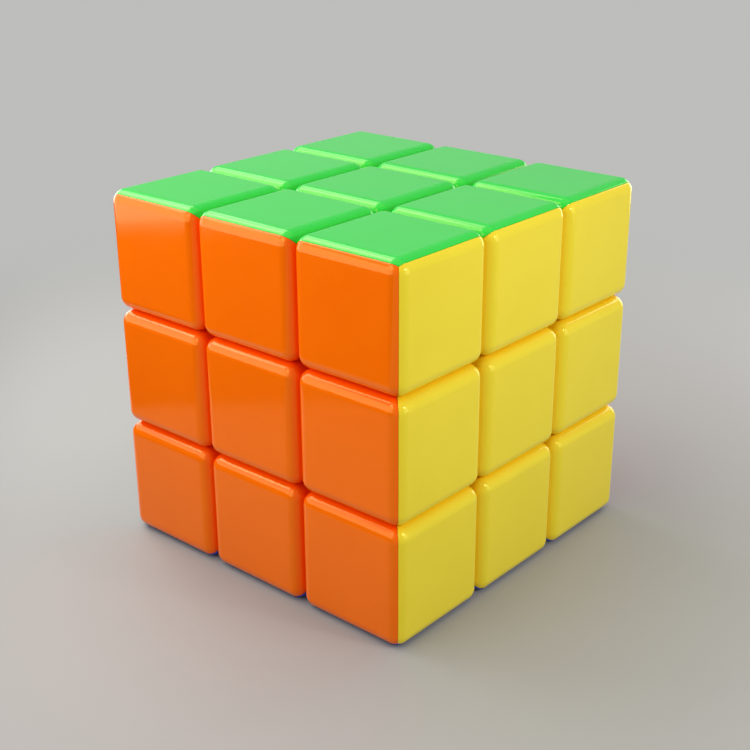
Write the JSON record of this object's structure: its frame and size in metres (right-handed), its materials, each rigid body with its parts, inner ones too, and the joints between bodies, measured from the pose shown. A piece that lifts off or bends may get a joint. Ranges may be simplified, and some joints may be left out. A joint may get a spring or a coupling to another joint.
{
  "type": "twisty puzzle cube",
  "caption": "Large stickerless twisty puzzle cube, its layers turning about a sprung core with screwed arms.",
  "frame": {"origin": "middle of the core, where the three turning axes cross", "axes": "+X to the right (yellow) face, +Y to the back (red) face, +Z to the up (green) face"},
  "size_m": [0.18, 0.18, 0.18],
  "materials": {
    "green_plastic": "moulded-in green ABS, polished mould gloss",
    "orange_plastic": "moulded-in orange ABS, polished mould gloss",
    "yellow_plastic": "moulded-in yellow ABS, polished mould gloss",
    "blue_plastic": "moulded-in blue ABS, polished mould gloss",
    "red_plastic": "moulded-in red ABS, polished mould gloss",
    "white_plastic": "moulded-in white ABS, polished mould gloss",
    "core_plastic": "unpainted natural POM core",
    "screw_steel": "zinc-plated steel",
    "spring_steel": "drawn spring steel wire",
    "washer_steel": "stamped zinc-plated steel"
  },
  "bodies": {
    "core": {"core": "core_plastic", "centre_screws": "screw_steel", "centre_springs": "spring_steel", "centre_washers": "washer_steel"},
    "centre_up": {"centre_up_green": "green_plastic"},
    "centre_down": {"centre_down_blue": "blue_plastic"},
    "centre_front": {"centre_front_orange": "orange_plastic"},
    "centre_back": {"centre_back_red": "red_plastic"},
    "centre_right": {"centre_right_yellow": "yellow_plastic"},
    "centre_left": {"centre_left_white": "white_plastic"},
    "edge_up_front": {"edge_up_front_green": "green_plastic", "edge_up_front_orange": "orange_plastic"},
    "edge_up_back": {"edge_up_back_green": "green_plastic", "edge_up_back_red": "red_plastic"},
    "edge_up_right": {"edge_up_right_green": "green_plastic", "edge_up_right_yellow": "yellow_plastic"},
    "edge_up_left": {"edge_up_left_green": "green_plastic", "edge_up_left_white": "white_plastic"},
    "edge_down_front": {"edge_down_front_blue": "blue_plastic", "edge_down_front_orange": "orange_plastic"},
    "edge_down_back": {"edge_down_back_blue": "blue_plastic", "edge_down_back_red": "red_plastic"},
    "edge_down_right": {"edge_down_right_blue": "blue_plastic", "edge_down_right_yellow": "yellow_plastic"},
    "edge_down_left": {"edge_down_left_blue": "blue_plastic", "edge_down_left_white": "white_plastic"},
    "edge_front_right": {"edge_front_right_orange": "orange_plastic", "edge_front_right_yellow": "yellow_plastic"},
    "edge_front_left": {"edge_front_left_orange": "orange_plastic", "edge_front_left_white": "white_plastic"},
    "edge_back_right": {"edge_back_right_red": "red_plastic", "edge_back_right_yellow": "yellow_plastic"},
    "edge_back_left": {"edge_back_left_red": "red_plastic", "edge_back_left_white": "white_plastic"},
    "corner_up_front_right": {"corner_up_front_right_green": "green_plastic", "corner_up_front_right_orange": "orange_plastic", "corner_up_front_right_yellow": "yellow_plastic"},
    "corner_up_front_left": {"corner_up_front_left_green": "green_plastic", "corner_up_front_left_orange": "orange_plastic", "corner_up_front_left_white": "white_plastic"},
    "corner_up_back_right": {"corner_up_back_right_green": "green_plastic", "corner_up_back_right_red": "red_plastic", "corner_up_back_right_yellow": "yellow_plastic"},
    "corner_up_back_left": {"corner_up_back_left_green": "green_plastic", "corner_up_back_left_red": "red_plastic", "corner_up_back_left_white": "white_plastic"},
    "corner_down_front_right": {"corner_down_front_right_blue": "blue_plastic", "corner_down_front_right_orange": "orange_plastic", "corner_down_front_right_yellow": "yellow_plastic"},
    "corner_down_front_left": {"corner_down_front_left_blue": "blue_plastic", "corner_down_front_left_orange": "orange_plastic", "corner_down_front_left_white": "white_plastic"},
    "corner_down_back_right": {"corner_down_back_right_blue": "blue_plastic", "corner_down_back_right_red": "red_plastic", "corner_down_back_right_yellow": "yellow_plastic"},
    "corner_down_back_left": {"corner_down_back_left_blue": "blue_plastic", "corner_down_back_left_red": "red_plastic", "corner_down_back_left_white": "white_plastic"}
  },
  "joints": [
    {"name": "up_turn", "type": "hinge", "parent": "core", "child": "centre_up", "pos_m": [0, 0, 0], "axis": [0, 0, 1], "continuous": true},
    {"name": "down_turn", "type": "hinge", "parent": "core", "child": "centre_down", "pos_m": [0, 0, 0], "axis": [0, 0, 1], "continuous": true},
    {"name": "front_turn", "type": "hinge", "parent": "core", "child": "centre_front", "pos_m": [0, 0, 0], "axis": [0, 1, 0], "continuous": true},
    {"name": "back_turn", "type": "hinge", "parent": "core", "child": "centre_back", "pos_m": [0, 0, 0], "axis": [0, 1, 0], "continuous": true},
    {"name": "right_turn", "type": "hinge", "parent": "core", "child": "centre_right", "pos_m": [0, 0, 0], "axis": [1, 0, 0], "continuous": true},
    {"name": "left_turn", "type": "hinge", "parent": "core", "child": "centre_left", "pos_m": [0, 0, 0], "axis": [1, 0, 0], "continuous": true},
    {"name": "edge_up_front_turn", "type": "hinge", "parent": "centre_up", "child": "edge_up_front", "pos_m": [0, 0, 0], "axis": [0, 1, 0], "continuous": true},
    {"name": "edge_up_back_turn", "type": "hinge", "parent": "centre_up", "child": "edge_up_back", "pos_m": [0, 0, 0], "axis": [0, 1, 0], "continuous": true},
    {"name": "edge_up_right_turn", "type": "hinge", "parent": "centre_right", "child": "edge_up_right", "pos_m": [0, 0, 0], "axis": [0, 0, 1], "continuous": true},
    {"name": "edge_up_left_turn", "type": "hinge", "parent": "centre_left", "child": "edge_up_left", "pos_m": [0, 0, 0], "axis": [0, 0, 1], "continuous": true},
    {"name": "edge_down_front_turn", "type": "hinge", "parent": "centre_down", "child": "edge_down_front", "pos_m": [0, 0, 0], "axis": [0, 1, 0], "continuous": true},
    {"name": "edge_down_back_turn", "type": "hinge", "parent": "centre_down", "child": "edge_down_back", "pos_m": [0, 0, 0], "axis": [0, 1, 0], "continuous": true},
    {"name": "edge_down_right_turn", "type": "hinge", "parent": "centre_right", "child": "edge_down_right", "pos_m": [0, 0, 0], "axis": [0, 0, 1], "continuous": true},
    {"name": "edge_down_left_turn", "type": "hinge", "parent": "centre_left", "child": "edge_down_left", "pos_m": [0, 0, 0], "axis": [0, 0, 1], "continuous": true},
    {"name": "edge_front_right_turn", "type": "hinge", "parent": "centre_front", "child": "edge_front_right", "pos_m": [0, 0, 0], "axis": [1, 0, 0], "continuous": true},
    {"name": "edge_front_left_turn", "type": "hinge", "parent": "centre_front", "child": "edge_front_left", "pos_m": [0, 0, 0], "axis": [1, 0, 0], "continuous": true},
    {"name": "edge_back_right_turn", "type": "hinge", "parent": "centre_back", "child": "edge_back_right", "pos_m": [0, 0, 0], "axis": [1, 0, 0], "continuous": true},
    {"name": "edge_back_left_turn", "type": "hinge", "parent": "centre_back", "child": "edge_back_left", "pos_m": [0, 0, 0], "axis": [1, 0, 0], "continuous": true},
    {"name": "corner_up_front_right_turn", "type": "hinge", "parent": "edge_up_front", "child": "corner_up_front_right", "pos_m": [0, 0, 0], "axis": [1, 0, 0], "continuous": true},
    {"name": "corner_up_front_left_turn", "type": "hinge", "parent": "edge_up_front", "child": "corner_up_front_left", "pos_m": [0, 0, 0], "axis": [1, 0, 0], "continuous": true},
    {"name": "corner_up_back_right_turn", "type": "hinge", "parent": "edge_up_back", "child": "corner_up_back_right", "pos_m": [0, 0, 0], "axis": [1, 0, 0], "continuous": true},
    {"name": "corner_up_back_left_turn", "type": "hinge", "parent": "edge_up_back", "child": "corner_up_back_left", "pos_m": [0, 0, 0], "axis": [1, 0, 0], "continuous": true},
    {"name": "corner_down_front_right_turn", "type": "hinge", "parent": "edge_down_front", "child": "corner_down_front_right", "pos_m": [0, 0, 0], "axis": [1, 0, 0], "continuous": true},
    {"name": "corner_down_front_left_turn", "type": "hinge", "parent": "edge_down_front", "child": "corner_down_front_left", "pos_m": [0, 0, 0], "axis": [1, 0, 0], "continuous": true},
    {"name": "corner_down_back_right_turn", "type": "hinge", "parent": "edge_down_back", "child": "corner_down_back_right", "pos_m": [0, 0, 0], "axis": [1, 0, 0], "continuous": true},
    {"name": "corner_down_back_left_turn", "type": "hinge", "parent": "edge_down_back", "child": "corner_down_back_left", "pos_m": [0, 0, 0], "axis": [1, 0, 0], "continuous": true}
  ],
  "couplings": [
    {"joint": "edge_up_front_turn", "follows": "front_turn", "ratio": 1},
    {"joint": "edge_up_back_turn", "follows": "back_turn", "ratio": 1},
    {"joint": "edge_up_right_turn", "follows": "up_turn", "ratio": 1},
    {"joint": "edge_up_left_turn", "follows": "up_turn", "ratio": 1},
    {"joint": "edge_down_front_turn", "follows": "front_turn", "ratio": 1},
    {"joint": "edge_down_back_turn", "follows": "back_turn", "ratio": 1},
    {"joint": "edge_down_right_turn", "follows": "down_turn", "ratio": 1},
    {"joint": "edge_down_left_turn", "follows": "down_turn", "ratio": 1},
    {"joint": "edge_front_right_turn", "follows": "right_turn", "ratio": 1},
    {"joint": "edge_front_left_turn", "follows": "left_turn", "ratio": 1},
    {"joint": "edge_back_right_turn", "follows": "right_turn", "ratio": 1},
    {"joint": "edge_back_left_turn", "follows": "left_turn", "ratio": 1},
    {"joint": "corner_up_front_right_turn", "follows": "right_turn", "ratio": 1},
    {"joint": "corner_up_front_left_turn", "follows": "left_turn", "ratio": 1},
    {"joint": "corner_up_back_right_turn", "follows": "right_turn", "ratio": 1},
    {"joint": "corner_up_back_left_turn", "follows": "left_turn", "ratio": 1},
    {"joint": "corner_down_front_right_turn", "follows": "right_turn", "ratio": 1},
    {"joint": "corner_down_front_left_turn", "follows": "left_turn", "ratio": 1},
    {"joint": "corner_down_back_right_turn", "follows": "right_turn", "ratio": 1},
    {"joint": "corner_down_back_left_turn", "follows": "left_turn", "ratio": 1}
  ]
}
